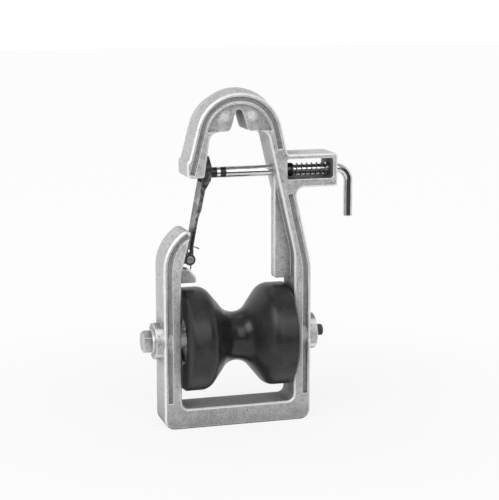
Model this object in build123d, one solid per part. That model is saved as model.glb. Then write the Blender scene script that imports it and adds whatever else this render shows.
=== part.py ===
"""Hook-type stringing block: cast frame, hourglass roller, sprung gate and sprung lock rod.

Millimetres. +Z is up, X runs along the axle with the lock handle at +X, and -Y is the front.
The origin is at the centre of the base's bottom face, under the middle of the roller.
"""
import os
from math import cos, pi, radians, sin, sqrt, tan

from build123d import *

os.makedirs("parts", exist_ok=True)

# Roller
ROLLER_RADIUS = 44.45
ROLLER_LENGTH = 94.0
THROAT_RADIUS = 21.0
THROAT_ARC_RADIUS = 16.0
FLARE_ANGLE = 50.7
CREST_RADIUS = 12.0
RIM_CHAMFER = 2.0
END_RECESS = 5.0
CORE_END_RADIUS = 19.6
CORE_WAIST_RADIUS = 16.4
CORE_FLANGE_RADIUS = 24.0
CORE_FLANGE_WALL = 1.5
CORE_BORE_RADIUS = 14.2

# Cast frame, overall
FRAME_DEPTH = 32.0
LEG_WIDTH = 15.0
BASE_HEIGHT = 17.4
HEAD_ROOM = 169.35
ROLLER_SIDE_GAP = 3.0
ROLLER_BASE_GAP = 13.35
BASE_CORNER_RADIUS = 9.0
BASE_INNER_RADIUS = 6.0
EDGE_CHAMFER = 1.3

AXLE_HEIGHT = BASE_HEIGHT + ROLLER_BASE_GAP + ROLLER_RADIUS
ROLLER_TOP = AXLE_HEIGHT + ROLLER_RADIUS
FRAME_HEIGHT = ROLLER_TOP + HEAD_ROOM
HALF_DEPTH = FRAME_DEPTH / 2
INNER_X = ROLLER_LENGTH / 2 + ROLLER_SIDE_GAP
OUTER_X = INNER_X + LEG_WIDTH

# Right leg, which leans in towards the hook
RIGHT_LEG_LEAN = 12.8
LEG_LEAN_START = FRAME_HEIGHT - 151.3
RIGHT_INNER_START = LEG_LEAN_START + 9.3
LEG_BEND_RADIUS = 55.0

# Hook at the top of the frame
CROWN_PAD_RISE = 3.4
CROWN_PAD_DEPTH = 27.0
CROWN_PAD_ANGLE = 75.0
CROWN_PAD_OVERRUN = 10.0
CROWN_PAD_FACETS = 5
CROWN_ARC_GAP = 0.4
CROWN_TOP = FRAME_HEIGHT - CROWN_PAD_RISE
HOOK_LEAN = 14.5
HOOK_TIP_HEIGHT = FRAME_HEIGHT - 73.8
HOOK_TIP_WIDTH = 14.8
HOOK_TIP_OUTER_X = 21.0 - OUTER_X
HOOK_TIP_INNER_X = HOOK_TIP_OUTER_X + HOOK_TIP_WIDTH
HOOK_INNER_SLANT = 5.4
HOOK_LIP_HEIGHT = 13.5
HOOK_LIP_STEP = 1.6
HOOK_ROOF_HEIGHT = FRAME_HEIGHT - 35.7
HOOK_ROOF_RADIUS = 9.0
LIP_TOP = HOOK_TIP_HEIGHT + HOOK_LIP_HEIGHT

# Notch in the hook's roof that seats on the strand, in a web between two lobes
STRAND_RADIUS = 3.175
STRAND_CLEARANCE = 0.075
SEAT_RADIUS = STRAND_RADIUS + STRAND_CLEARANCE
STRAND_HEIGHT = FRAME_HEIGHT - 20.5
NOTCH_HALF_ANGLE = 17.0
NOTCH_MOUTH_RADIUS = 4.0
WEB_RECESS = 2.5
WEB_BORDER = 9.2
WEB_MARGIN = 4.5
WEB_SLANT = 9.0
LOBE_RADIUS = 8.2
LOBE_RISE = 1.5
LOBE_HEIGHT = STRAND_HEIGHT - 6.5
LOBE_SPACING = 25.0

# Left leg, which stops short of the hook's tip to leave the way in
ENTRY_HEIGHT = 43.7
LEFT_LEG_HEIGHT = HOOK_TIP_HEIGHT - ENTRY_HEIGHT
LEFT_SHOULDER_HEIGHT = LEFT_LEG_HEIGHT - 13.5
LEFT_SHOULDER_RADIUS = 39.0
LEFT_TOP_LENGTH = 5.4
LEFT_TOP_SETBACK = 18.7
LEFT_TOP_DROP = 1.2
LEFT_INNER_BEND = LEFT_LEG_HEIGHT - 38.5
LEFT_INNER_RADIUS = 30.0

# Groove cast round both faces
GROOVE_INSET = 3.0
GROOVE_WIDTH = 4.3
GROOVE_DEPTH = 2.2

# Guard fin on the right leg and guard lug on the left leg
GUARD_THICKNESS = 9.4
GUARD_CHAMFER = 1.0
GUARD_GAP = 5.0
GUARD_ROOT = 4.0
FIN_REACH = 15.2
FIN_CORNER_RADIUS = 3.0
LUG_REACH = 16.0
LUG_HEIGHT = 13.0
GUARD_BOTTOM = ROLLER_TOP + GUARD_GAP
FIN_EDGE_X = INNER_X - FIN_REACH
LUG_EDGE_X = LUG_REACH - INNER_X

# Deep-groove ball bearings
BEARING_BORE = 10.0
BEARING_OUTSIDE = 35.0
BEARING_WIDTH = 11.0
BEARING_BORE_CLEARANCE = 0.05
BALL_RADIUS = 3.175
BALL_COUNT = 7
BALL_CLEARANCE = 0.05
RACE_RADIUS = 3.35
INNER_SHOULDER_RADIUS = 8.75
OUTER_SHOULDER_RADIUS = 13.8
SHIELD_THICKNESS = 0.6
SHIELD_INSET = 0.4
SHIELD_CLEARANCE = 0.25
CAGE_THICKNESS = 1.2
CAGE_BACK = 0.9
CAGE_FINGER = 2.4
SEAT_CLEARANCE = 0.02
BEARING_FACE_X = ROLLER_LENGTH / 2 - END_RECESS
CORE_FLANGE_LENGTH = BEARING_WIDTH + CORE_FLANGE_WALL
BEARING_X = BEARING_FACE_X - BEARING_WIDTH / 2
PITCH_RADIUS = (BEARING_BORE + BEARING_OUTSIDE) / 4

# Axle
BOLT_RADIUS = 4.95
BOLT_HOLE_CLEARANCE = 0.15
BOLT_TAIL = 8.8
BOLT_CHAMFER = 0.8
HEX_WIDTH = 17.0
HEAD_THICKNESS = 7.4
HEAD_CHAMFER = 1.2
NUT_THICKNESS = 8.2
NUT_POCKET_CLEARANCE = 0.1
WASHER_RADIUS = 10.5
WASHER_THICKNESS = 2.0
WASHER_CLEARANCE = 0.2
BOSS_HEIGHT = 6.6
BOSS_SETBACK = 0.4
SPACER_RADIUS = 7.4

# Gate
GATE_PIN_X = 9.6 - INNER_X
GATE_PIN_Z = LEFT_LEG_HEIGHT - 26.1
GATE_PIN_RADIUS = 2.0
GATE_PIN_HEAD_RADIUS = 3.2
GATE_PIN_HEAD = 1.1
GATE_PIN_CLEARANCE = 0.06
GATE_LEAN = 10.6
GATE_DEPTH = 17.0
GATE_SHEET = 1.5
GATE_WEB_OFFSET = 1.4
GATE_WEB_TOP = 66.0
GATE_WEB_BOTTOM = 8.0
GATE_BEND_RADIUS = 1.2
GATE_EAR_TOP = 89.0
GATE_EAR_REACH = 6.3
GATE_FLANGE_REACH = 2.6
GATE_FOOT_RADIUS = 4.8
PIN_LUG_RADIUS = 4.6
PIN_LUG_FRONT = 1.9
PIN_LUG_CLEARANCE = 0.2
GATE_SPRING_WIRE = 1.1
GATE_SPRING_RADIUS = 3.2
GATE_SPRING_TURNS = 3
GATE_SPRING_ARM = 11.5
GATE_SPRING_FOOT = -8.6

# Lock rod and its cage
LOCK_HEIGHT = HOOK_TIP_HEIGHT + 2.6
PLUNGER_RADIUS = 4.75
PLUNGER_CLEARANCE = 0.1
PLUNGER_ENGAGEMENT = 5.8
PLUNGER_BORE_RELIEF = 1.0
PLUNGER_CHAMFER = 1.2
PLUNGER_BAND_RELIEF = 0.3
PLUNGER_BANDS = ((10.0, 19.9), (22.6, 27.8))
ROD_RADIUS = 3.95
ROD_CLEARANCE = 0.1
ROD_END_CHAMFER = 0.8
HANDLE_REACH = 15.1
HANDLE_BEND_RADIUS = 8.0
HANDLE_DROP = 42.6
CAGE_WALL = 4.2
WINDOW_LENGTH = 41.0
WINDOW_SINK = 3.8
COLLAR_LENGTH = 7.0
COLLAR_RADIUS = 5.8
COLLAR_CHAMFER = 0.5
COLLAR_PIN_RADIUS = 1.0
COLLAR_PIN_LENGTH = 12.2
COLLAR_STOP_GAP = 0.1
LOCK_STACK_GAP = 0.05
LOCK_WASHER_THICKNESS = 1.0
LOCK_SPRING_WIRE = 1.4
LOCK_SPRING_RADIUS = 4.85
LOCK_SPRING_TURNS = 7

LEAN_SLOPE = tan(radians(RIGHT_LEG_LEAN))
PLUNGER_TIP_X = HOOK_TIP_INNER_X - PLUNGER_ENGAGEMENT
WINDOW_LEFT_X = OUTER_X - (LOCK_HEIGHT - LEG_LEAN_START) * LEAN_SLOPE - WINDOW_SINK
WINDOW_RIGHT_X = WINDOW_LEFT_X + WINDOW_LENGTH
WINDOW_BOTTOM = LOCK_HEIGHT - 6.6
WINDOW_TOP = LOCK_HEIGHT + 10.8
CAGE_RIGHT_X = WINDOW_RIGHT_X + CAGE_WALL
CAGE_BOTTOM = LOCK_HEIGHT - 13.8
CAGE_TOP = LOCK_HEIGHT + 14.8
HANDLE_X = CAGE_RIGHT_X + HANDLE_REACH


def right_outer_x(height):
    """Outer face of the leaning right leg at a height."""
    return OUTER_X - (height - LEG_LEAN_START) * LEAN_SLOPE


def right_inner_x(height):
    """Inner face of the leaning right leg at a height."""
    return INNER_X - (height - RIGHT_INNER_START) * LEAN_SLOPE


def hook_outer_x(height):
    """Outer face of the hook's left side at a height."""
    return HOOK_TIP_OUTER_X + HOOK_LIP_STEP + (height - LIP_TOP) * tan(radians(HOOK_LEAN))


def crown_circle():
    """Centre and radius of the circle that touches both sides of the hook and its top."""
    right = right_outer_x(CROWN_TOP)
    right_turn = tan(radians(90 - RIGHT_LEG_LEAN) / 2)
    left_turn = tan(radians(90 - HOOK_LEAN) / 2)
    radius = (right - hook_outer_x(CROWN_TOP)) / (right_turn + left_turn)
    return right - radius * right_turn, CROWN_TOP - radius, radius


CROWN_CENTRE_X, CROWN_CENTRE_Z, CROWN_RADIUS = crown_circle()


def rounded_face(corners):
    """Closed face in XZ from (x, z, corner radius) triples."""
    points = [(x, z) for x, z, radius in corners]
    radii = [radius for x, z, radius in corners]
    outline = FilletPolyline(*points, radius=radii, close=True)
    return Plane.XZ * make_face(outline)


def face_edges(part, levels):
    """Edges that lie flat in the given Y planes."""
    chosen = []
    for edge in part.edges():
        box = edge.bounding_box()
        if any(abs(box.min.Y - y) < 1e-4 and abs(box.max.Y - y) < 1e-4 for y in levels):
            chosen.append(edge)
    return chosen


def plate(corners, back, front, edge_chamfer=0.0):
    """Flat piece between two Y positions, with its front and back edges broken."""
    part = Pos(0, back, 0) * extrude(rounded_face(corners), back - front)
    if edge_chamfer:
        part = chamfer(face_edges(part, (back, front)), edge_chamfer)
    return part


def turned(profile):
    """Solid of revolution about X from (x, radius) points."""
    return revolve(make_face(Polyline(*profile, close=True)), Axis.X)


def tube(x_from, x_to, outer, inner):
    """Plain tube along X on its own axis."""
    return turned([(x_from, inner), (x_to, inner), (x_to, outer), (x_from, outer)])


def bar_x(x_from, x_to, radius):
    """Plain round bar along X on its own axis."""
    return turned([(x_from, 0), (x_to, 0), (x_to, radius), (x_from, radius)])


def bar_y(radius, length):
    """Plain round bar along Y, centred."""
    return Rot(90, 0, 0) * Cylinder(radius, length)


def hexagon(x_from, x_to, width):
    """Hexagonal prism along X with two corners up and down."""
    start = Plane(origin=(x_from, 0, 0), x_dir=(0, 1, 0), z_dir=(1, 0, 0))
    sketch = start * RegularPolygon(width / 2, 6, major_radius=False, rotation=30)
    return extrude(sketch, x_to - x_from)


def on_axle(part):
    return Pos(0, 0, AXLE_HEIGHT) * part


def on_lock(part):
    return Pos(0, 0, LOCK_HEIGHT) * part


def on_gate(part):
    return Pos(GATE_PIN_X, 0, GATE_PIN_Z) * Rot(0, GATE_LEAN, 0) * part


def crown_corners():
    """The two corners that the hook's top is rounded from, right to left."""
    radius = CROWN_RADIUS - CROWN_ARC_GAP
    return [
        (right_outer_x(CROWN_TOP), CROWN_TOP, radius),
        (hook_outer_x(CROWN_TOP), CROWN_TOP, radius),
    ]


def notch_corners():
    """Corners of the notch from its left mouth over the seat to its right mouth."""
    half_angle = radians(NOTCH_HALF_ANGLE)
    peak = STRAND_HEIGHT + SEAT_RADIUS / sin(half_angle)
    half_mouth = (peak - HOOK_ROOF_HEIGHT) * tan(half_angle)
    return [
        (CROWN_CENTRE_X - half_mouth, HOOK_ROOF_HEIGHT, NOTCH_MOUTH_RADIUS),
        (CROWN_CENTRE_X, peak, SEAT_RADIUS),
        (CROWN_CENTRE_X + half_mouth, HOOK_ROOF_HEIGHT, NOTCH_MOUTH_RADIUS),
    ]


def frame_profile():
    """Corners of the casting: base, right leg, cage and hook, then back down inside to the left leg."""
    outside = [
        (-OUTER_X, 0, BASE_CORNER_RADIUS),
        (OUTER_X, 0, BASE_CORNER_RADIUS),
        (OUTER_X, LEG_LEAN_START, LEG_BEND_RADIUS),
        (right_outer_x(CAGE_BOTTOM), CAGE_BOTTOM, 7.0),
        (CAGE_RIGHT_X, CAGE_BOTTOM, 2.5),
        (CAGE_RIGHT_X, CAGE_TOP, 3.0),
        (right_outer_x(CAGE_TOP), CAGE_TOP, 3.0),
        *crown_corners(),
        (hook_outer_x(LIP_TOP + HOOK_LIP_STEP), LIP_TOP + HOOK_LIP_STEP, 2.5),
        (HOOK_TIP_OUTER_X, LIP_TOP, 2.5),
        (HOOK_TIP_OUTER_X, HOOK_TIP_HEIGHT, 4.0),
    ]
    inside = [
        (HOOK_TIP_INNER_X, HOOK_TIP_HEIGHT, 2.5),
        (HOOK_TIP_INNER_X + HOOK_INNER_SLANT, HOOK_ROOF_HEIGHT, HOOK_ROOF_RADIUS),
        *notch_corners(),
        (right_inner_x(HOOK_ROOF_HEIGHT), HOOK_ROOF_HEIGHT, HOOK_ROOF_RADIUS),
        (INNER_X, RIGHT_INNER_START, LEG_BEND_RADIUS),
        (INNER_X, BASE_HEIGHT, BASE_INNER_RADIUS),
        (-INNER_X, BASE_HEIGHT, BASE_INNER_RADIUS),
        (-INNER_X, LEFT_INNER_BEND, LEFT_INNER_RADIUS),
    ]
    top_right = LEFT_TOP_SETBACK - OUTER_X + LEFT_TOP_LENGTH
    left_top = [
        (top_right, LEFT_LEG_HEIGHT - LEFT_TOP_DROP, 2.0),
        (LEFT_TOP_SETBACK - OUTER_X, LEFT_LEG_HEIGHT, 5.0),
        (-OUTER_X, LEFT_SHOULDER_HEIGHT, LEFT_SHOULDER_RADIUS),
    ]
    return outside + inside + left_top


def frame_body():
    """One C-shaped casting with its spring cage."""
    window = [
        (WINDOW_LEFT_X, WINDOW_BOTTOM, 2.0),
        (WINDOW_RIGHT_X, WINDOW_BOTTOM, 2.0),
        (WINDOW_RIGHT_X, WINDOW_TOP, 2.0),
        (WINDOW_LEFT_X, WINDOW_TOP, 2.0),
    ]
    body = plate(frame_profile(), HALF_DEPTH, -HALF_DEPTH, EDGE_CHAMFER)
    return body - plate(window, HALF_DEPTH + 1, -HALF_DEPTH - 1)


def inset_chain(corners, distance):
    """Open chain of (x, z, radius) corners moved to its left by a distance."""
    lines = []
    for (x1, z1, _), (x2, z2, _) in zip(corners, corners[1:]):
        length = sqrt((x2 - x1) ** 2 + (z2 - z1) ** 2)
        dx = (x2 - x1) / length
        dz = (z2 - z1) / length
        lines.append((x1 - dz * distance, z1 + dx * distance, dx, dz, length))
    moved = [(lines[0][0], lines[0][1], 0.0)]
    for (ax, az, adx, adz, _), (bx, bz, bdx, bdz, _), corner in zip(lines, lines[1:], corners[1:]):
        along = ((bx - ax) * bdz - (bz - az) * bdx) / (adx * bdz - adz * bdx)
        moved.append((ax + along * adx, az + along * adz, corner[2] - distance))
    x, z, dx, dz, length = lines[-1]
    moved.append((x + dx * length, z + dz * length, 0.0))
    return moved


def groove_run(corners):
    """Length of groove cut along a chain of outer corners on the front face."""
    near = inset_chain(corners, GROOVE_INSET)
    far = inset_chain(corners, GROOVE_INSET + GROOVE_WIDTH)
    face = rounded_face(near + far[::-1])
    return Pos(0, -HALF_DEPTH + GROOVE_DEPTH, 0) * extrude(face, GROOVE_DEPTH + 1)


def frame_grooves():
    """Shallow grooves that follow the outer contour of both legs and of the hook."""
    start = BASE_HEIGHT + 6
    leg_end = CAGE_BOTTOM - 4
    hook_start = CAGE_TOP + 6
    hook_end = HOOK_TIP_HEIGHT + 4
    left_leg = [
        (LEFT_TOP_SETBACK - OUTER_X, LEFT_LEG_HEIGHT, 0.0),
        (-OUTER_X, LEFT_SHOULDER_HEIGHT, LEFT_SHOULDER_RADIUS),
        (-OUTER_X, start, 0.0),
    ]
    right_leg = [
        (OUTER_X, start, 0.0),
        (OUTER_X, LEG_LEAN_START, LEG_BEND_RADIUS),
        (right_outer_x(leg_end), leg_end, 0.0),
    ]
    hook = [
        (right_outer_x(hook_start), hook_start, 0.0),
        *crown_corners(),
        (hook_outer_x(hook_end), hook_end, 0.0),
    ]
    return [groove_run(run) for run in (left_leg, right_leg, hook)]


def web_recess():
    """Recess inside the crown, cut on the front face down to the hook's roof."""
    disc = Pos(CROWN_CENTRE_X, CROWN_CENTRE_Z) * Circle(CROWN_RADIUS - WEB_BORDER)
    right = right_inner_x(HOOK_ROOF_HEIGHT) + WEB_MARGIN
    left = HOOK_TIP_INNER_X + HOOK_INNER_SLANT - WEB_MARGIN
    sides = [
        (right, HOOK_ROOF_HEIGHT),
        (right - WEB_SLANT, FRAME_HEIGHT),
        (left + WEB_SLANT, FRAME_HEIGHT),
        (left, HOOK_ROOF_HEIGHT),
    ]
    region = disc & make_face(Polyline(*sides, close=True))
    return Pos(0, -HALF_DEPTH + WEB_RECESS, 0) * extrude(Plane.XZ * region, WEB_RECESS + 1)


def lobes():
    """Two domed pads beside the notch on the front of the web."""
    dome = (LOBE_RADIUS**2 + LOBE_RISE**2) / (2 * LOBE_RISE)
    web_face = WEB_RECESS - HALF_DEPTH
    ball = Pos(0, web_face - LOBE_RISE + dome, 0) * Sphere(dome)
    cap = ball & (Pos(0, web_face - WEB_RECESS / 2, 0) * Box(2 * dome, 2 * WEB_RECESS, 2 * dome))
    return [Pos(CROWN_CENTRE_X + side * LOBE_SPACING / 2, 0, LOBE_HEIGHT) * cap for side in (-1, 1)]


def crown_pad():
    """Domed pad on top of the hook, which sinks into it towards both ends."""
    raised = CROWN_PAD_RISE / (1 - cos(radians(CROWN_PAD_ANGLE)))
    top = CROWN_RADIUS + CROWN_PAD_RISE - raised
    half = CROWN_PAD_DEPTH / 2
    dome = (half**2 + CROWN_PAD_RISE**2) / (2 * CROWN_PAD_RISE)
    across = [CROWN_PAD_DEPTH * (step / CROWN_PAD_FACETS - 0.5) for step in range(CROWN_PAD_FACETS + 1)]
    ridge = [(y, top - dome + sqrt(dome**2 - y**2)) for y in across]
    section = make_face(Polyline((-half, top - 5), *ridge, (half, top - 5), close=True))
    upright = Plane(origin=(0, 0, 0), x_dir=(0, 1, 0), z_dir=(1, 0, 0))
    sweep_angle = CROWN_PAD_ANGLE + CROWN_PAD_OVERRUN
    pad = revolve(upright * section, Axis.Y, 2 * sweep_angle)
    return Pos(CROWN_CENTRE_X, 0, CROWN_CENTRE_Z + raised) * Rot(0, -sweep_angle, 0) * pad


def guard_fin():
    """Thin fin that narrows the cable opening from the right leg."""
    top = RIGHT_INNER_START + FIN_REACH / LEAN_SLOPE
    root = INNER_X + GUARD_ROOT
    corners = [
        (FIN_EDGE_X, GUARD_BOTTOM, FIN_CORNER_RADIUS),
        (root, GUARD_BOTTOM, 0.0),
        (root, RIGHT_INNER_START, 0.0),
        (FIN_EDGE_X + GUARD_ROOT, top, 0.0),
        (FIN_EDGE_X, top, 0.0),
    ]
    return plate(corners, GUARD_THICKNESS / 2, -GUARD_THICKNESS / 2, GUARD_CHAMFER)


def guard_lug():
    """Rounded lug that narrows the cable opening from the left leg."""
    top = GUARD_BOTTOM + LUG_HEIGHT
    root = -INNER_X - GUARD_ROOT
    corners = [
        (root, GUARD_BOTTOM, 0.0),
        (LUG_EDGE_X, GUARD_BOTTOM, 1.6),
        (LUG_EDGE_X - 0.4, GUARD_BOTTOM + 0.4 * LUG_HEIGHT, 2.5),
        (LUG_EDGE_X - 0.5 * LUG_HEIGHT, top - 0.6, 5.0),
        (root, top, 0.0),
    ]
    return plate(corners, GUARD_THICKNESS / 2, -GUARD_THICKNESS / 2, GUARD_CHAMFER)


def pin_lug():
    """Lug on the left leg that carries the gate's pin."""
    back = GATE_DEPTH / 2 - GATE_SHEET - PIN_LUG_CLEARANCE
    thickness = back + PIN_LUG_FRONT
    length = GATE_PIN_X + INNER_X + 1.4
    eye = bar_y(PIN_LUG_RADIUS, thickness)
    arm = Pos(-length / 2, 0, 0) * Box(length, thickness, 2 * PIN_LUG_RADIUS - 0.4)
    return Pos(GATE_PIN_X, back - thickness / 2, GATE_PIN_Z) * (eye + arm)


def frame_bores(body):
    """The casting with its bolt hole, nut pocket, plunger bore, rod hole and pin hole."""
    bolt_hole = BOLT_RADIUS + BOLT_HOLE_CLEARANCE
    pocket_x = OUTER_X + BOSS_HEIGHT - NUT_THICKNESS - NUT_POCKET_CLEARANCE
    pocket_end = OUTER_X + BOSS_HEIGHT + 1
    bore = PLUNGER_RADIUS + PLUNGER_CLEARANCE
    body -= on_axle(bar_x(-2 * OUTER_X, 2 * OUTER_X, bolt_hole))
    body -= on_axle(hexagon(pocket_x, pocket_end, HEX_WIDTH + 2 * NUT_POCKET_CLEARANCE))
    body -= on_lock(bar_x(PLUNGER_TIP_X - PLUNGER_BORE_RELIEF, WINDOW_LEFT_X + 1, bore))
    body -= on_lock(bar_x(WINDOW_RIGHT_X - 1, CAGE_RIGHT_X + 1, ROD_RADIUS + ROD_CLEARANCE))
    body -= Pos(GATE_PIN_X, 0, GATE_PIN_Z) * bar_y(GATE_PIN_RADIUS + SEAT_CLEARANCE, FRAME_DEPTH)
    return body


def frame():
    """The whole casting: hook, legs, base, cage, guards, lugs and bosses."""
    body = frame_body()
    for feature in frame_grooves() + [web_recess()]:
        body -= feature
        body -= mirror(feature, Plane.XZ)
    silhouette = plate(frame_profile(), HALF_DEPTH, -HALF_DEPTH)
    for cap in lobes():
        trimmed = cap & silhouette
        body += trimmed
        body += mirror(trimmed, Plane.XZ)
    boss = tube(INNER_X, OUTER_X + BOSS_HEIGHT, HALF_DEPTH - BOSS_SETBACK, 1.0)
    for feature in (crown_pad(), guard_fin(), guard_lug(), pin_lug(), on_axle(boss)):
        body += feature
    body += on_axle(mirror(boss, Plane.YZ))
    return frame_bores(body)


def hourglass():
    """Corners and corner radii of the roller's groove, from its left rim to its right rim."""
    flare = radians(FLARE_ANGLE)
    throat_corner = THROAT_RADIUS - THROAT_ARC_RADIUS / cos(flare) + THROAT_ARC_RADIUS
    crest_x = (ROLLER_RADIUS - throat_corner) / tan(flare)
    half = ROLLER_LENGTH / 2
    points = [
        (-half, ROLLER_RADIUS),
        (-crest_x, ROLLER_RADIUS),
        (0, throat_corner),
        (crest_x, ROLLER_RADIUS),
        (half, ROLLER_RADIUS),
    ]
    return points, [CREST_RADIUS, THROAT_ARC_RADIUS, CREST_RADIUS]


def core_profile():
    """Outside of the roller's core, from left to right."""
    flange_x = BEARING_FACE_X - CORE_FLANGE_LENGTH
    return [
        (-BEARING_FACE_X, CORE_FLANGE_RADIUS),
        (-flange_x, CORE_FLANGE_RADIUS),
        (-flange_x, CORE_WAIST_RADIUS),
        (flange_x, CORE_WAIST_RADIUS),
        (flange_x, CORE_FLANGE_RADIUS),
        (BEARING_FACE_X, CORE_FLANGE_RADIUS),
    ]


def roller_core():
    """Spool-shaped core with a bearing seat in each end."""
    seat_x = BEARING_FACE_X - BEARING_WIDTH
    seat = BEARING_OUTSIDE / 2 + SEAT_CLEARANCE
    bore = [
        (BEARING_FACE_X, seat),
        (seat_x, seat),
        (seat_x, CORE_BORE_RADIUS),
        (-seat_x, CORE_BORE_RADIUS),
        (-seat_x, seat),
        (-BEARING_FACE_X, seat),
    ]
    return turned(core_profile() + bore)


def roller_cover():
    """Moulded cover with the hourglass groove, closed over the core's flanges."""
    points, radii = hourglass()
    outer = FilletPolyline(*points, radius=radii)
    half = ROLLER_LENGTH / 2
    closing = Polyline(
        (half, ROLLER_RADIUS),
        (half, CORE_END_RADIUS),
        (BEARING_FACE_X, CORE_END_RADIUS),
        *[(x, r + SEAT_CLEARANCE) for x, r in core_profile()[::-1]],
        (-BEARING_FACE_X, CORE_END_RADIUS),
        (-half, CORE_END_RADIUS),
        (-half, ROLLER_RADIUS),
    )
    cover = revolve(make_face(outer.edges() + closing.edges()), Axis.X)
    rims = []
    for edge in cover.edges().filter_by(GeomType.CIRCLE):
        if abs(abs(edge.center().X) - half) < 1e-3:
            rims.append(edge)
    return chamfer(rims, RIM_CHAMFER)


def race_cut():
    """Ring-shaped ball track, cut from both rings."""
    return revolve(Pos(0, PITCH_RADIUS) * Circle(RACE_RADIUS), Axis.X)


def bearing_outer():
    half = BEARING_WIDTH / 2
    return tube(-half, half, BEARING_OUTSIDE / 2, OUTER_SHOULDER_RADIUS) - race_cut()


def bearing_inner():
    half = BEARING_WIDTH / 2
    return tube(-half, half, INNER_SHOULDER_RADIUS, BEARING_BORE / 2) - race_cut()


def bearing_shields():
    """Pressed shield in each side of a bearing."""
    outside = BEARING_WIDTH / 2 - SHIELD_INSET
    inner = INNER_SHOULDER_RADIUS + SHIELD_CLEARANCE
    shield = tube(outside - SHIELD_THICKNESS, outside, OUTER_SHOULDER_RADIUS, inner)
    return [mirror(shield, Plane.YZ), shield]


def bearing_balls():
    ball = Pos(0, 0, PITCH_RADIUS) * Sphere(BALL_RADIUS)
    return [Rot(360 * index / BALL_COUNT, 0, 0) * ball for index in range(BALL_COUNT)]


def bearing_cage():
    """Crown-shaped ring that spaces the balls, with pockets open to one side."""
    pocket = BALL_RADIUS + BALL_CLEARANCE
    half = CAGE_THICKNESS / 2
    cage = tube(-pocket - CAGE_BACK, CAGE_FINGER, PITCH_RADIUS + half, PITCH_RADIUS - half)
    cut = Pos(0, 0, PITCH_RADIUS) * Box(2 * pocket, 2 * pocket, 4 * CAGE_THICKNESS)
    for index in range(BALL_COUNT):
        cage -= Rot(360 * index / BALL_COUNT, 0, 0) * cut
    return cage


def axle_bolt():
    """Hexagon bolt through both legs, with its head on the left."""
    head_x = -(OUTER_X + BOSS_HEIGHT + WASHER_THICKNESS)
    head_end = head_x - HEAD_THICKNESS
    tail_x = OUTER_X + BOSS_HEIGHT + BOLT_TAIL
    shank = turned([
        (head_x - 1, 0),
        (tail_x, 0),
        (tail_x, BOLT_RADIUS - BOLT_CHAMFER),
        (tail_x - BOLT_CHAMFER, BOLT_RADIUS),
        (head_x - 1, BOLT_RADIUS),
    ])
    corner = HEX_WIDTH / sqrt(3) + 0.1
    dressed = turned([
        (head_end, 0),
        (head_x, 0),
        (head_x, corner),
        (head_end + HEAD_CHAMFER, corner),
        (head_end, HEX_WIDTH / 2 - 0.4),
    ])
    return on_axle((hexagon(head_end, head_x, HEX_WIDTH) & dressed) + shank)


def axle_nut():
    face_x = OUTER_X + BOSS_HEIGHT
    nut = hexagon(face_x - NUT_THICKNESS, face_x, HEX_WIDTH)
    return on_axle(nut - bar_x(face_x - 2 * NUT_THICKNESS, face_x + 1, BOLT_RADIUS + SEAT_CLEARANCE))


def axle_washer():
    face_x = -(OUTER_X + BOSS_HEIGHT)
    return on_axle(tube(face_x - WASHER_THICKNESS, face_x, WASHER_RADIUS, BOLT_RADIUS + WASHER_CLEARANCE))


def axle_spacer(x_from, x_to):
    return on_axle(tube(x_from, x_to, SPACER_RADIUS, BOLT_RADIUS + BEARING_BORE_CLEARANCE))


def gate_flange():
    """Corners of a gate flange: narrow low down, widening to an ear beside the lock rod."""
    return [
        (-GATE_WEB_OFFSET, 0.0, 0.0),
        (-GATE_WEB_OFFSET, GATE_EAR_TOP, 1.0),
        (0.9, GATE_EAR_TOP, 1.0),
        (GATE_EAR_REACH, GATE_EAR_TOP - 11.5, 2.0),
        (GATE_EAR_REACH, GATE_EAR_TOP - 20.0, 2.0),
        (GATE_FLANGE_REACH + 0.3, GATE_EAR_TOP - 29.0, 2.0),
        (GATE_FLANGE_REACH, 43.0, 2.0),
        (1.2, 36.0, 2.0),
        (1.2, 0.0, 0.0),
    ]


def gate():
    """Folded sheet gate: a web, two flanges that fork round the lock rod, and two feet."""
    half = GATE_DEPTH / 2
    web_length = GATE_WEB_TOP - GATE_WEB_BOTTOM
    web_centre = Pos(GATE_SHEET / 2 - GATE_WEB_OFFSET, 0, GATE_WEB_BOTTOM + web_length / 2)
    sheet = web_centre * Box(GATE_SHEET, GATE_DEPTH, web_length)
    for back in (half, GATE_SHEET - half):
        foot = Pos(0, back - GATE_SHEET / 2, 0) * bar_y(GATE_FOOT_RADIUS, GATE_SHEET)
        sheet += plate(gate_flange(), back, back - GATE_SHEET) + foot
    bends = []
    for edge in sheet.edges().filter_by(Axis.Z):
        centre = edge.center()
        on_corner = abs(abs(centre.Y) - half) < 1e-3 and abs(centre.X + GATE_WEB_OFFSET) < 1e-3
        if on_corner and edge.length > web_length / 2:
            bends.append(edge)
    sheet = fillet(bends, GATE_BEND_RADIUS)
    return on_gate(sheet - bar_y(GATE_PIN_RADIUS + GATE_PIN_CLEARANCE, 2 * GATE_DEPTH))


def gate_pin():
    """Riveted pin through the gate's feet and the frame's lug."""
    reach = GATE_DEPTH / 2 + GATE_PIN_CLEARANCE
    head = Rot(0, 0, -90) * turned([
        (reach, 0),
        (reach, GATE_PIN_HEAD_RADIUS),
        (reach + GATE_PIN_HEAD / 2, GATE_PIN_HEAD_RADIUS),
        (reach + GATE_PIN_HEAD, GATE_PIN_HEAD_RADIUS - GATE_PIN_HEAD / 2),
        (reach + GATE_PIN_HEAD, 0),
    ])
    pin = bar_y(GATE_PIN_RADIUS, 2 * reach + GATE_PIN_HEAD)
    return Pos(GATE_PIN_X, 0, GATE_PIN_Z) * (pin + head + mirror(head, Plane.XZ))


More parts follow.
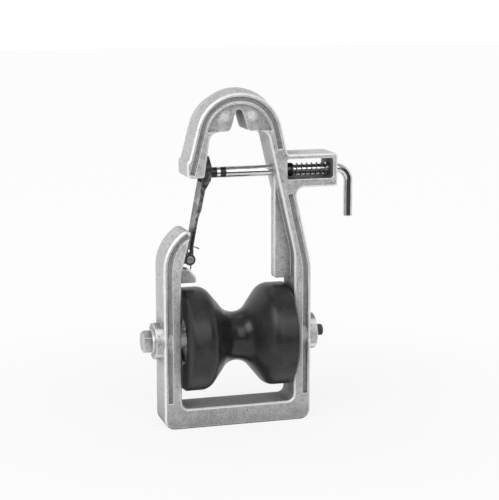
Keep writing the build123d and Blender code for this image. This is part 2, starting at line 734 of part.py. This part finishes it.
def coil(radius, wire_radius, turns, height):
    """Helical wire of hexagonal section along Z from the origin's level."""
    path = Helix(height / turns, height, radius)
    section = Plane(origin=path @ 0, z_dir=path % 0) * RegularPolygon(wire_radius, 6)
    return sweep(section, path=path, is_frenet=True)


def wire_between(start, end, radius):
    """Straight wire between two points, run on a little at both ends so that bends join."""
    a = Vector(*start)
    b = Vector(*end)
    run_on = (b - a).normalized() * (radius / 2)
    line = Plane(origin=a - run_on, z_dir=b - a)
    return line * Cylinder(radius, (b - a).length + radius, align=(Align.CENTER, Align.CENTER, Align.MIN))


def gate_spring():
    """Torsion spring round the pin: one arm on the gate's web, one on the guard lug."""
    radius = GATE_SPRING_WIRE / 2
    pitch = GATE_SPRING_WIRE + 0.05
    front = -GATE_DEPTH / 2 + GATE_SHEET + radius + 0.1
    back = front + pitch * GATE_SPRING_TURNS
    wound = coil(GATE_SPRING_RADIUS, radius, GATE_SPRING_TURNS, pitch * GATE_SPRING_TURNS)
    elbow = (GATE_SPRING_RADIUS - 2.2, front, GATE_SPRING_ARM)
    spring = Pos(0, front, 0) * Rot(-90, 0, 0) * wound
    spring += wire_between((GATE_SPRING_RADIUS, front, 0), elbow, radius)
    spring += wire_between(elbow, (GATE_SPRING_RADIUS + 3.4, front, GATE_SPRING_ARM - 1.1), radius)
    foot = (GATE_SPRING_RADIUS, back, GATE_SPRING_FOOT)
    spring += wire_between((GATE_SPRING_RADIUS, back, 0), foot, radius)
    return on_gate(spring)


def lock_rod():
    """Plunger turned on a round bar whose outer end is bent down into a handle."""
    shoulder = WINDOW_LEFT_X + COLLAR_STOP_GAP
    relieved = PLUNGER_RADIUS - PLUNGER_BAND_RELIEF
    profile = [
        (PLUNGER_TIP_X, 0),
        (PLUNGER_TIP_X, PLUNGER_RADIUS - PLUNGER_CHAMFER),
        (PLUNGER_TIP_X + PLUNGER_CHAMFER, PLUNGER_RADIUS),
    ]
    for start, end in PLUNGER_BANDS:
        profile += [
            (PLUNGER_TIP_X + start, PLUNGER_RADIUS),
            (PLUNGER_TIP_X + start + PLUNGER_BAND_RELIEF, relieved),
            (PLUNGER_TIP_X + end - PLUNGER_BAND_RELIEF, relieved),
            (PLUNGER_TIP_X + end, PLUNGER_RADIUS),
        ]
    profile += [(shoulder, PLUNGER_RADIUS), (shoulder, 0)]
    path = Plane.XZ * FilletPolyline(
        (shoulder - 1, 0),
        (HANDLE_X, 0),
        (HANDLE_X, -HANDLE_DROP),
        radius=HANDLE_BEND_RADIUS + ROD_RADIUS,
    )
    section = Plane(origin=(shoulder - 1, 0, 0), z_dir=(1, 0, 0)) * Circle(ROD_RADIUS)
    bar = sweep(section, path=path)
    bar = chamfer(bar.edges().sort_by(Axis.Z)[0], ROD_END_CHAMFER)
    rod = turned(profile) + bar
    rod -= Pos(WINDOW_LEFT_X + COLLAR_LENGTH / 2, 0, 0) * bar_y(COLLAR_PIN_RADIUS + SEAT_CLEARANCE, 20)
    return on_lock(rod)


def lock_collar():
    """Collar pinned to the rod; it stops against the leg."""
    x_from = WINDOW_LEFT_X + COLLAR_STOP_GAP
    x_to = WINDOW_LEFT_X + COLLAR_LENGTH
    collar = turned([
        (x_from, ROD_RADIUS + SEAT_CLEARANCE),
        (x_to, ROD_RADIUS + SEAT_CLEARANCE),
        (x_to, COLLAR_RADIUS - COLLAR_CHAMFER),
        (x_to - COLLAR_CHAMFER, COLLAR_RADIUS),
        (x_from + COLLAR_CHAMFER, COLLAR_RADIUS),
        (x_from, COLLAR_RADIUS - COLLAR_CHAMFER),
    ])
    hole = bar_y(COLLAR_PIN_RADIUS + SEAT_CLEARANCE, 20)
    return on_lock(collar - Pos(WINDOW_LEFT_X + COLLAR_LENGTH / 2, 0, 0) * hole)


def collar_pin():
    pin = bar_y(COLLAR_PIN_RADIUS, COLLAR_PIN_LENGTH)
    return on_lock(Pos(WINDOW_LEFT_X + COLLAR_LENGTH / 2, 0, 0) * pin)


def lock_washer():
    x_from = WINDOW_LEFT_X + COLLAR_LENGTH + LOCK_STACK_GAP
    return on_lock(tube(x_from, x_from + LOCK_WASHER_THICKNESS, COLLAR_RADIUS, ROD_RADIUS + ROD_CLEARANCE))


def lock_spring():
    """Compression spring with a closed coil at each end."""
    radius = LOCK_SPRING_WIRE / 2
    x_from = WINDOW_LEFT_X + COLLAR_LENGTH + LOCK_WASHER_THICKNESS + 2 * LOCK_STACK_GAP
    length = WINDOW_RIGHT_X - LOCK_STACK_GAP / 2 - x_from
    wound = coil(LOCK_SPRING_RADIUS, radius, LOCK_SPRING_TURNS, length - 3 * radius)
    spring = Pos(x_from + 1.5 * radius, 0, 0) * Rot(0, 90, 0) * wound
    for start in (x_from, x_from + length - 2 * radius):
        spring += tube(start, start + 2 * radius, LOCK_SPRING_RADIUS + radius, LOCK_SPRING_RADIUS - radius)
    return on_lock(spring)


def save(name, shape):
    """Write one node; a list becomes separate solids in the same file."""
    if isinstance(shape, list):
        shape = Compound(children=shape)
    export_step(shape, os.path.join("parts", name + ".step"))


save("frame", frame())
save("roller_core", on_axle(roller_core()))
save("roller_cover", on_axle(roller_cover()))

for side, x in (("left", -BEARING_X), ("right", BEARING_X)):
    seat = Pos(x, 0, AXLE_HEIGHT)
    save("bearing_outer_" + side, seat * bearing_outer())
    save("bearing_inner_" + side, seat * bearing_inner())
    save("bearing_shields_" + side, [seat * shield for shield in bearing_shields()])
    save("bearing_balls_" + side, [seat * ball for ball in bearing_balls()])
    save("bearing_cage_" + side, seat * bearing_cage())

inner_end = BEARING_FACE_X - BEARING_WIDTH
save("spacer_middle", axle_spacer(-inner_end, inner_end))
save("spacer_left", axle_spacer(-INNER_X, -BEARING_FACE_X))
save("spacer_right", axle_spacer(BEARING_FACE_X, INNER_X))
save("axle_bolt", axle_bolt())
save("axle_nut", axle_nut())
save("axle_washer", axle_washer())

save("gate", gate())
save("gate_pin", gate_pin())
save("gate_spring", gate_spring())

save("lock_rod", lock_rod())
save("lock_collar", lock_collar())
save("collar_pin", collar_pin())
save("lock_washer", lock_washer())
save("lock_spring", lock_spring())
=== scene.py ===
"""Looks of the stringing block, section by section in the order it is put together."""
import math

import bmesh
import bpy
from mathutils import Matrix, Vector


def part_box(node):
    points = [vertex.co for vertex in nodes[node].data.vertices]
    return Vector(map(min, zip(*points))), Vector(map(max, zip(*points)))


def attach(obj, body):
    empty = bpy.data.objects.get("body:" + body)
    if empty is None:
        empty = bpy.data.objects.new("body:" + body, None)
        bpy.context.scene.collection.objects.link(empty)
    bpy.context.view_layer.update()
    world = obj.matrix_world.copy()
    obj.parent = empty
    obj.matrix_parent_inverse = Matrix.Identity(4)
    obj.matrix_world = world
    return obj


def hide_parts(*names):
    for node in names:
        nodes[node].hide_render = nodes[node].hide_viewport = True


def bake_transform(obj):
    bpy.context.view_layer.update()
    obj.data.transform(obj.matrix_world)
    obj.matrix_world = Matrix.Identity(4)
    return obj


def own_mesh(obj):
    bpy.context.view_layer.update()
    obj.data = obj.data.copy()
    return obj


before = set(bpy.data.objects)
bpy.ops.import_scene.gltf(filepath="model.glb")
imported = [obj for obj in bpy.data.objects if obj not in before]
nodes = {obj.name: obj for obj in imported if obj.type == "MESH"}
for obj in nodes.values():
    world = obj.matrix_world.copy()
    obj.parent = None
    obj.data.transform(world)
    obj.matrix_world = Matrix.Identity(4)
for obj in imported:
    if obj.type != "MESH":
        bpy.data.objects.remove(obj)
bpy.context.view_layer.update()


# The frame: one C-shaped sand casting in aluminium, with hook, legs, base and spring cage.
# It is tumbled after casting, so the skin is dull and finely grained. Its edges and chamfers are
# painted bright, partly as rubbed metal and partly as painted highlight, and its grooves, the web
# inside the crown and its hollows are painted darker as painted shade.
class Wire:
    """One output in a material's node tree. Arithmetic on it adds Math nodes."""

    def __init__(self, tree, socket=None):
        self.tree = tree
        self.socket = socket

    def node(self, kind, settings=None, values=None, output=0):
        """Any node: its settings first, then the values or links of its sockets."""
        made = self.tree.nodes.new("ShaderNode" + kind)
        for name, value in (settings or {}).items():
            setattr(made, name, value)
        for name, value in (values or {}).items():
            if isinstance(value, Wire):
                self.tree.links.new(value.socket, made.inputs[name])
            else:
                made.inputs[name].default_value = value
        return Wire(self.tree, made.outputs[output])

    def math(self, operation, first, second=0.0):
        return self.node("Math", {"operation": operation}, {0: first, 1: second})

    def __add__(self, other):
        return self.math("ADD", self, other)

    def __sub__(self, other):
        return self.math("SUBTRACT", self, other)

    def __mul__(self, other):
        return self.math("MULTIPLY", self, other)

    def __truediv__(self, other):
        return self.math("DIVIDE", self, other)

    def __rsub__(self, other):
        return self.math("SUBTRACT", other, self)

    __radd__ = __add__
    __rmul__ = __mul__

    def __abs__(self):
        return self.math("ABSOLUTE", self)

    def off_axis(self, other):
        """Distance from an axis, from the two distances across it."""
        return self.math("SQRT", self * self + other * other)

    def step(self, low, high):
        """0 below low, 1 above high, smooth between them."""
        span = {"interpolation_type": "SMOOTHSTEP"}
        return self.node("MapRange", span, {"Value": self, "From Min": low, "From Max": high})

    def blend(self, first, second):
        """Colour that goes from first to second as this value goes from 0 to 1."""
        return self.node("Mix", {"data_type": "RGBA"}, {0: self, 6: first, 7: second}, output=2)

    def noise(self, scale, detail=2.0, roughness=0.5):
        """Noise in the piece's own space, in lumps about 1 / scale metres wide."""
        place = self.node("TexCoord", output="Object")
        values = {"Vector": place, "Scale": scale, "Detail": detail, "Roughness": roughness}
        return self.node("TexNoise", values=values)

    def axes(self, source="Object"):
        """The three parts of a piece's place or normal, or of the direction in a world."""
        place = self.node("TexCoord", output=source)
        split = self.node("SeparateXYZ", values={0: place}).socket.node
        return [Wire(self.tree, socket) for socket in split.outputs]


def start_material(name):
    """An empty material whose Principled shader is ready for its sockets."""
    material = bpy.data.materials.new(name)
    material.use_nodes = True
    return material, Wire(material.node_tree), material.node_tree.nodes["Principled BSDF"]


def set_shader(shader, **sockets):
    """Set or link sockets of the shader; an underscore stands for a space."""
    for name, value in sockets.items():
        socket = shader.inputs[name.replace("_", " ")]
        if isinstance(value, Wire):
            value.tree.links.new(value.socket, socket)
        else:
            socket.default_value = value


def softened(wire, radius):
    """The normal, rounded over corners to a radius in metres."""
    return wire.node("Bevel", {"samples": 6}, {"Radius": radius})


def rough_skin(wire, height, relief, corner):
    """Normal of a skin whose height of 1 stands relief metres high, with rounded corners."""
    values = {"Height": height, "Distance": relief, "Normal": softened(wire, corner)}
    return wire.node("Bump", values=values)


def corner_mask(wire, corner):
    """1 on outer and inner corners, 0 on flat faces."""
    values = {0: softened(wire, corner), 1: wire.node("NewGeometry", output="True Normal")}
    along = wire.node("VectorMath", {"operation": "DOT_PRODUCT"}, values, "Value")
    return (1 - along).step(0.005, 0.06)


def open_air(wire, reach):
    """1 on open faces, falling towards 0 in corners and hollows narrower than reach."""
    return wire.node("AmbientOcclusion", {"samples": 6}, {"Distance": reach}, output="AO")


def grey(level, blue=0.0):
    """A grey, a little blue where blue is over 0."""
    return (level, level, level + blue, 1)


def paint(material, *names):
    """Give CAD nodes one material all over."""
    for name in names:
        nodes[name].data.materials.clear()
        nodes[name].data.materials.append(material)


FRAME_FACE_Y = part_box("frame")[1][1]
GROOVE_FLOOR_Y = FRAME_FACE_Y - 0.0022
WEB_FLOOR_Y = FRAME_FACE_Y - 0.0025
CAST_CORNER = 0.0012
CAST_RELIEF = 0.00022
CAST_DARK = (0.26, 0.265, 0.27, 1)
CAST_LIGHT = grey(0.84)
# The groove and hollow colours are painted shade, not colours of the metal.
GROOVE_SHADE = grey(0.14, 0.005)
HOLLOW_SHADE = grey(0.09, 0.005)
HOLLOW_REACH = 0.05
# A bright for corners: partly rubbed metal, partly painted highlight.
RUB_AND_HIGHLIGHT_BRIGHT = grey(0.98)
PARTING_HALF = 0.0002


def cast_aluminium():
    """Tumbled casting: fine grain, blotches and a parting line, painted shade in grooves and
    hollows, edges painted bright.
    """
    material, wire, shader = start_material("cast_aluminium")
    y = wire.axes()[1]
    facing = abs(wire.axes("Normal")[1])
    depth = abs(y)
    grain = wire.noise(900, 3, 0.6)
    mottle = wire.noise(230, 4, 0.6)
    blotch = wire.noise(38, 3)
    groove = facing.step(0.90, 0.96) * (1 - abs(depth - GROOVE_FLOOR_Y).step(0.00008, 0.00016))
    web = facing.step(0.85, 0.95) * (1 - depth.step(WEB_FLOOR_Y + 0.00004, WEB_FLOOR_Y + 0.00012))
    air = open_air(wire, HOLLOW_REACH)
    tone = (mottle - 0.5) * 0.9 + (blotch - 0.5) * 0.5 + (grain - 0.5) * 0.7 + 0.56
    pits = 1 - wire.noise(620, 1).step(0.34, 0.42)
    bright = (tone - pits * 0.35).blend(CAST_DARK, CAST_LIGHT)
    # The grooves and the crown's web are painted darker here, as painted shade.
    groove_shaded = (groove * 0.25 + web * 0.05).blend(bright, GROOVE_SHADE)
    # Corners and hollows are painted darker by their occlusion, as painted shade.
    shaded = ((1 - air) * 1.15).blend(groove_shaded, HOLLOW_SHADE)
    # Chamfer faces and corners in open air are painted bright: partly rubbed metal, partly painted
    # highlight.
    chamfer_highlight = facing.step(0.55, 0.65) * (1 - facing.step(0.78, 0.88))
    edge = wire.math("MAXIMUM", corner_mask(wire, CAST_CORNER), chamfer_highlight * 0.8) * air.step(0.2, 0.5)
    parting = (1 - depth.step(PARTING_HALF, PARTING_HALF + 0.0003)) * (1 - facing.step(0.2, 0.4))
    height = grain * 0.5 + mottle * 1.3 + parting * 0.8 - pits * 0.4
    set_shader(
        shader,
        Base_Color=edge.blend(shaded, RUB_AND_HIGHLIGHT_BRIGHT),
        Metallic=0.6,
        Specular_IOR_Level=0.3,
        Roughness=0.38 + (mottle - 0.5) * 0.3 + (1 - air) * 0.4,
        Normal=rough_skin(wire, height, CAST_RELIEF, CAST_CORNER),
    )
    return material


paint(cast_aluminium(), "frame")


# The roller: a turned aluminium spool with a black neoprene cover moulded on it in the
# hourglass shape that centres the cable. The cover has a satin moulded skin with faint
# turning marks from the mould and a thin parting line along both sides.
AXLE_Z = sum(corner[2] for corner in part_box("roller_cover")) / 2
ROLLER_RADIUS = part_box("roller_cover")[1][1]
RUBBER_BLACK = grey(0.013)
RUBBER_DUSTY = grey(0.038, 0.001)
RUBBER_CORNER = 0.0012
RUBBER_RELIEF = 0.00012


def neoprene():
    """Moulded black rubber, dusty where the cable doesn't polish it."""
    material, wire, shader = start_material("neoprene")
    x, y, z = wire.axes()
    up = z - AXLE_Z
    worn = 1 - y.off_axis(up).step(0.5 * ROLLER_RADIUS, 0.8 * ROLLER_RADIUS)
    bloom = wire.noise(70, 4, 0.6)
    grit = wire.noise(800, 2)
    marks = wire.math("SINE", x * 5200)
    parting = 1 - abs(up).step(PARTING_HALF, PARTING_HALF + 0.0003)
    tone = (bloom - 0.4).step(0.0, 0.5) * (1 - worn * 0.6)
    height = grit * 0.5 + marks * 0.06 + parting * 0.6
    set_shader(
        shader,
        Base_Color=tone.blend(RUBBER_BLACK, RUBBER_DUSTY),
        Specular_IOR_Level=0.4,
        Roughness=0.34 + (bloom - 0.5) * 0.3 - worn * 0.08,
        Normal=rough_skin(wire, height, RUBBER_RELIEF, RUBBER_CORNER),
    )
    return material


paint(neoprene(), "roller_cover")


TURNED_CORNER = 0.0003
TURNED_RELIEF = 0.00003


def turned_metal(name, dark, light, roughness, metallic=1.0, axis="x", fineness=9000):
    """Metal with turning rings along one axis; their fineness is in radians to the metre."""
    material, wire, shader = start_material(name)
    along = wire.axes()["xyz".index(axis)]
    smear = wire.noise(120, 3)
    rings = wire.math("SINE", along * fineness + smear * 2)
    set_shader(
        shader,
        Base_Color=(smear * 0.8 + rings * 0.08 + 0.1).blend(dark, light),
        Metallic=metallic,
        Roughness=roughness + (smear - 0.5) * 0.15 + rings * 0.02,
        Normal=rough_skin(wire, rings * 0.3 + smear, TURNED_RELIEF, TURNED_CORNER),
    )
    return material


turned_aluminium = turned_metal("turned_aluminium", grey(0.80, 0.01), grey(0.95), 0.4, 0.4)
paint(turned_aluminium, "roller_core")


# The bearings: a shielded deep-groove ball bearing pressed into each end of the spool, with
# ground rings, polished balls, a brass crown cage and pressed shields. Turned sleeves between
# the inner rings, and between them and the legs, let the bolt clamp everything solid.
BRASS_DARK = (0.52, 0.36, 0.14, 1)
BRASS_LIGHT = (0.76, 0.58, 0.28, 1)
ground_steel = turned_metal("ground_steel", grey(0.78, 0.01), grey(0.95), 0.3, 0.5)
shield_steel = turned_metal("shield_steel", grey(0.84, 0.01), grey(0.97), 0.5, 0.2)
ball_steel = turned_metal("ball_steel", grey(0.70, 0.01), grey(0.84), 0.08, fineness=900)
cage_brass = turned_metal("cage_brass", BRASS_DARK, BRASS_LIGHT, 0.3)
for side in ("left", "right"):
    paint(ground_steel, "bearing_outer_" + side, "bearing_inner_" + side)
    paint(shield_steel, "bearing_shields_" + side)
    paint(ball_steel, "bearing_balls_" + side)
    paint(cage_brass, "bearing_cage_" + side)
paint(shield_steel, "spacer_left", "spacer_middle", "spacer_right")


# The axle: a zinc-plated hexagon bolt through both legs, with a plain washer under its head
# and a nut let into the right-hand boss. Its tail is threaded and stands proud of the nut.
THREAD_PITCH = 0.0015
THREAD_FROM_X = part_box("axle_nut")[0][0]
BOLT_SURFACE = 0.00505
PLATE_DARK = (0.08, 0.082, 0.085, 1)
PLATE_LIGHT = (0.74, 0.75, 0.76, 1)
# Painted shade for the seams between parts.
SEAM_SHADE = grey(0.02)
SEAM_REACH = 0.004
PLATE_CORNER = 0.0004
PLATE_BRIGHT_EDGE_CORNER = 0.0006
PLATE_RELIEF = 0.00006


def plated_steel():
    """Zinc plate with soft clouding and a thread on the bolt's tail; painted shade in thread and
    seams, painted highlight on edges.
    """
    material, wire, shader = start_material("plated_steel")
    x, y, z = wire.axes()
    up = z - AXLE_Z
    cloud = wire.noise(140, 4, 0.6)
    fine = wire.noise(900, 2)
    turn = wire.math("ARCTAN2", y, up) / (2 * math.pi)
    ridge = abs(wire.math("FRACT", x / THREAD_PITCH + turn) - 0.5) * 2
    on_shank = 1 - y.off_axis(up).step(BOLT_SURFACE, BOLT_SURFACE + 0.00015)
    thread = x.step(THREAD_FROM_X, THREAD_FROM_X + 0.0002) * on_shank
    # The threaded tail is painted darker than the plate, as painted shade among the thread's
    # turns.
    tone = (cloud - 0.5) * 1.6 + 0.55 - thread * (0.4 + ridge * 0.5)
    air = open_air(wire, SEAM_REACH)
    # Seams and hollows are painted darker by their occlusion, as painted shade.
    shaded = ((1 - air) * 1.5).blend(tone.blend(PLATE_DARK, PLATE_LIGHT), SEAM_SHADE)
    # Corners in open air are painted bright: partly rubbed plate, partly painted highlight.
    edge = corner_mask(wire, PLATE_BRIGHT_EDGE_CORNER) * air.step(0.4, 0.7) * (1 - thread)
    height = thread * ridge * 8 + fine * 0.25
    set_shader(
        shader,
        Base_Color=edge.blend(shaded, RUB_AND_HIGHLIGHT_BRIGHT),
        Metallic=1.0,
        Roughness=0.26 + cloud * 0.14,
        Normal=rough_skin(wire, height, PLATE_RELIEF, PLATE_CORNER),
    )
    return material


paint(plated_steel(), "axle_bolt", "axle_nut")
washer_steel = turned_metal("washer_steel", grey(0.76, 0.01), grey(0.96), 0.3, 0.7)
paint(washer_steel, "axle_washer")


# The gate: a folded steel sheet on a riveted pin in the left leg, which shuts the way into the
# hook and swings inwards under the cable. Its dark plating is rubbed lighter in patches, and
# its lower end round the pin is painted darker as the painted shadow of the leg.
LEG_SHADOW_FULL_Z = 0.160
LEG_SHADOW_NONE_Z = 0.176
DARK_CORNER = 0.0004
DARK_RELIEF = 0.00005


def dark_plate(name, dark, light, roughness, shadowed_foot=False):
    """Dark plated or oiled steel, rubbed lighter in patches, and darker low down as painted shadow
    where asked.
    """
    material, wire, shader = start_material(name)
    rub = wire.noise(260, 4, 0.65)
    cloud = wire.noise(60, 3)
    # Low on the piece the colour is painted darker, as the painted shadow of the leg.
    leg_shadow = 1 - wire.axes()[2].step(LEG_SHADOW_FULL_Z, LEG_SHADOW_NONE_Z) if shadowed_foot else 0.0
    wear = (rub * 0.7 + cloud * 0.5).step(0.52, 0.86) * (1 - leg_shadow * 0.9)
    set_shader(
        shader,
        Base_Color=(wear - leg_shadow * 0.5).blend(dark, light),
        Metallic=1.0,
        Roughness=roughness + (rub - 0.5) * 0.25,
        Normal=rough_skin(wire, rub, DARK_RELIEF, DARK_CORNER),
    )
    return material


gate_plate = dark_plate("gate_plate", grey(0.10, 0.005), grey(0.58, 0.01), 0.34, shadowed_foot=True)
paint(gate_plate, "gate")
rivet_steel = turned_metal("rivet_steel", grey(0.58, 0.01), grey(0.84), 0.22, axis="y")
paint(rivet_steel, "gate_pin")


# The gate's spring: dark round wire wound three times round the pin. Its upper arm bears on
# the gate and its foot on the lug of the leg, so it pushes the gate shut.
PIN = sum(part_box("gate_pin"), Vector()) / 2
GATE_LEAN = math.radians(10.6)
GATE_WIRE = 0.00055
GATE_COIL_RADIUS = 0.0032
GATE_COIL_TURNS = 3
UPPER_ARM = ((0.0066, 0.0104), (0.0014, 0.0114), (0.0010, 0.0108))
FOOT_UP = -0.0086
COIL_FRONT_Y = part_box("gate_spring")[0][1] + GATE_WIRE
COIL_BACK_Y = COIL_FRONT_Y + 0.00345
STEPS_PER_TURN = 24


def bent_wire(name, points, radius, material):
    """Smooth round wire along points, which stands for the CAD node of its name."""
    curve = bpy.data.curves.new(name, "CURVE")
    curve.dimensions = "3D"
    curve.bevel_depth = radius
    curve.bevel_resolution = 3
    curve.use_fill_caps = True
    spline = curve.splines.new("POLY")
    spline.points.add(len(points) - 1)
    for point, place in zip(spline.points, points):
        point.co = (*place, 1)
    path = bpy.data.objects.new(name + "_path", curve)
    mesh = bpy.data.meshes.new_from_object(path)
    bpy.data.objects.remove(path)
    mesh.shade_smooth()
    mesh.materials.clear()
    mesh.materials.append(material)
    piece = bpy.data.objects.new(name + "_wire", mesh)
    bpy.context.scene.collection.objects.link(piece)
    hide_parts(name)
    return piece


def on_gate(across, y, up):
    """A place by its distance from the pin, across the gate and up along it."""
    x = PIN.x + across * math.cos(GATE_LEAN) + up * math.sin(GATE_LEAN)
    return (x, y, PIN.z - across * math.sin(GATE_LEAN) + up * math.cos(GATE_LEAN))


gate_wire = [(across, COIL_FRONT_Y, up) for across, up in UPPER_ARM]
gate_steps = GATE_COIL_TURNS * STEPS_PER_TURN
for count in range(gate_steps + 1):
    share = count / gate_steps
    angle = share * GATE_COIL_TURNS * math.tau
    across, up = GATE_COIL_RADIUS * math.cos(angle), -GATE_COIL_RADIUS * math.sin(angle)
    gate_wire.append((across, COIL_FRONT_Y + share * (COIL_BACK_Y - COIL_FRONT_Y), up))
gate_wire.append((GATE_COIL_RADIUS, COIL_BACK_Y, FOOT_UP))
spring_steel = dark_plate("spring_steel", grey(0.05, 0.002), grey(0.22), 0.3)
gate_path = [on_gate(*place) for place in gate_wire]
gate_coil = bent_wire("gate_spring", gate_path, GATE_WIRE, spring_steel)
on_gate(0, 0, 0.002)
on_gate(0, 0, 0.008)
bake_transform(gate_coil)


# The lock: a plunger turned on a bright bar that crosses the hook above the gate. The bar's
# outer end is bent down as the handle, and a dark collar pinned to it stops against the
# cage's inner wall, with a washer between the collar and the spring.
LOCK_Z = sum(corner[2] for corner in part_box("lock_collar")) / 2
PLUNGER_END_X = -0.0074
BAND_SURFACE = 0.00450
BAR_DARK = grey(0.05, 0.002)
BAR_LIGHT = grey(0.86)
BAR_CORNER = 0.0004
BAR_RELIEF = 0.00002


def bright_bar():
    """Polished steel bar, lightly scratched, with dark turned bands at the plunger."""
    material, wire, shader = start_material("bright_bar")
    x, y, z = wire.axes()
    streak = wire.noise(90, 3)
    scratch = wire.noise(1500, 2)
    rings = wire.math("SINE", x * 7000)
    plunger = 1 - x.step(PLUNGER_END_X, PLUNGER_END_X + 0.0004)
    radius = y.off_axis(z - LOCK_Z)
    bands = plunger * (1 - radius.step(BAND_SURFACE, BAND_SURFACE + 0.00015))
    set_shader(
        shader,
        Base_Color=(streak * 0.7 + 0.35 - bands).blend(BAR_DARK, BAR_LIGHT),
        Metallic=1.0,
        Roughness=0.10 + streak * 0.06 + bands * 0.2,
        Normal=rough_skin(wire, scratch * 0.4 + rings * bands, BAR_RELIEF, BAR_CORNER),
    )
    return material


paint(bright_bar(), "lock_rod", "collar_pin")
collar_steel = dark_plate("collar_steel", grey(0.06, 0.002), grey(0.28), 0.32)
paint(collar_steel, "lock_collar", "lock_washer")


# The lock's spring: bright round wire in the frame's cage, between the washer and the outer
# wall, with one closed turn at each end of the open ones.
COIL_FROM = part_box("lock_spring")[0][0]
COIL_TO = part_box("lock_spring")[1][0]
COIL_WIRE = 0.0007
COIL_RADIUS = 0.00484
OPEN_TURNS = 7

lock_wire = []
for count in range((OPEN_TURNS + 2) * STEPS_PER_TURN + 1):
    turn = count / STEPS_PER_TURN
    share = min(max((turn - 1) / OPEN_TURNS, 0), 1)
    shut = COIL_WIRE * 0.25 * (min(turn, 1) + max(turn - 1 - OPEN_TURNS, 0))
    x = COIL_FROM + COIL_WIRE + shut + share * (COIL_TO - COIL_FROM - 2.5 * COIL_WIRE)
    angle = turn * math.tau
    lock_wire.append((x, COIL_RADIUS * math.sin(angle), LOCK_Z + COIL_RADIUS * math.cos(angle)))
coil_steel = turned_metal("coil_steel", grey(0.42, 0.01), grey(0.80, 0.01), 0.2)
lock_coil = bent_wire("lock_spring", lock_wire, COIL_WIRE, coil_steel)
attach(lock_coil, "base")
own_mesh(lock_coil)


# The floor: matt white paper, which shows near white to the camera and in metal and keeps the
# block's soft shadow. The part of it in front of the block is dark where metal mirrors it.
PAPER_DULL = grey(0.84)
PAPER_BRIGHT = grey(0.88)
WHITE = grey(1)
DARK_FRONT = grey(0.03)
FLOOR_HALF = 6.0


def seen_directly(wire):
    """1 for rays that look at the room itself, straight or in metal or glass; else 0."""
    kinds = ("Is Camera Ray", "Is Glossy Ray", "Is Transmission Ray")
    seen = sum(wire.node("LightPath", output=kind) for kind in kinds)
    return wire.math("MINIMUM", seen, 1.0)


def pale_floor():
    """White paper that glows for the rays that see it, less near the block for its shadow."""
    material, wire, shader = start_material("pale_floor")
    x, y, z = wire.axes()
    set_shader(
        shader,
        Base_Color=wire.noise(400, 2).blend(PAPER_DULL, PAPER_BRIGHT),
        Roughness=0.9,
    )
    mirrored = wire.node("LightPath", output="Is Glossy Ray")
    ahead = (y * -1).step(0.3, 0.6) * (1 - (abs(x) / abs(y)).step(1.2, 2.0))
    glow = wire.node("Emission", values={"Color": (mirrored * ahead).blend(WHITE, DARK_FRONT)})
    share = seen_directly(wire) * (0.84 + x.off_axis(y).step(0.1, 0.45) * 0.12)
    paper = Wire(wire.tree, shader.outputs["BSDF"])
    shown = wire.node("MixShader", values={0: share, 1: paper, 2: glow})
    wire.tree.links.new(shown.socket, wire.tree.nodes["Material Output"].inputs["Surface"])
    return material


floor_mesh = bmesh.new()
bmesh.ops.create_grid(floor_mesh, x_segments=24, y_segments=24, size=FLOOR_HALF)
floor_data = bpy.data.meshes.new("floor")
floor_mesh.to_mesh(floor_data)
floor_mesh.free()
floor = bpy.data.objects.new("floor", floor_data)
floor.data.materials.append(pale_floor())
bpy.context.scene.collection.objects.link(floor)


# The surround: an even white room with soft lamps from the upper left, the front and
# overhead. As in a light tent with an open front, metal mirrors a dark front and a dimmer
# top, so bars carry a dark streak along their length.
ROOM_LEVEL = 0.46
world = bpy.data.worlds.new("surround")
world.use_nodes = True
bpy.context.scene.world = world
surround = Wire(world.node_tree)
x, y, z = surround.axes("Generated")
ahead = (y * -1).step(0.30, 0.55) * (1 - z.step(0.35, 0.60))
mirrored = surround.node("LightPath", output="Is Glossy Ray")
dimmed = z.step(0.3, 0.95) * (0.12 + mirrored * 0.45)
level = ROOM_LEVEL + seen_directly(surround) * (1 - ROOM_LEVEL)
level = level - dimmed - mirrored * ahead * 0.97
background = world.node_tree.nodes["Background"]
background.inputs["Color"].default_value = WHITE
world.node_tree.links.new(level.socket, background.inputs["Strength"])


def soft_lamp(name, place, aim, size, power):
    """Square area lamp that points at the block."""
    data = bpy.data.lights.new(name, "AREA")
    data.shape = "SQUARE"
    data.size = size
    data.energy = power
    lamp = bpy.data.objects.new(name, data)
    lamp.location = place
    lamp.rotation_euler = (Vector(aim) - Vector(place)).to_track_quat("-Z", "Y").to_euler()
    bpy.context.scene.collection.objects.link(lamp)


soft_lamp("key", (-1.1, -0.9, 1.2), (0, 0, 0.15), 1.1, 13.5)
soft_lamp("front", (0.2, -1.5, 0.9), (0, 0, 0.15), 1.3, 10)
soft_lamp("overhead", (0.1, 0.3, 1.5), (0, 0, 0.1), 0.8, 1.5)


# The camera: a long lens from the front left, a little above the block, with the whole block
# in the frame.
camera_data = bpy.data.cameras.new("camera")
camera_data.lens = 109.4
camera_data.sensor_width = 36.0
camera_data.sensor_fit = "VERTICAL"
camera_data.sensor_height = 36.0
camera = bpy.data.objects.new("camera", camera_data)
camera.location = (-0.3500, -1.2276, 0.3887)
camera.rotation_euler = (math.radians(79.42), 0, math.radians(-16.53))
bpy.context.scene.collection.objects.link(camera)
bpy.context.scene.camera = camera
bpy.context.scene.view_settings.view_transform = "Standard"
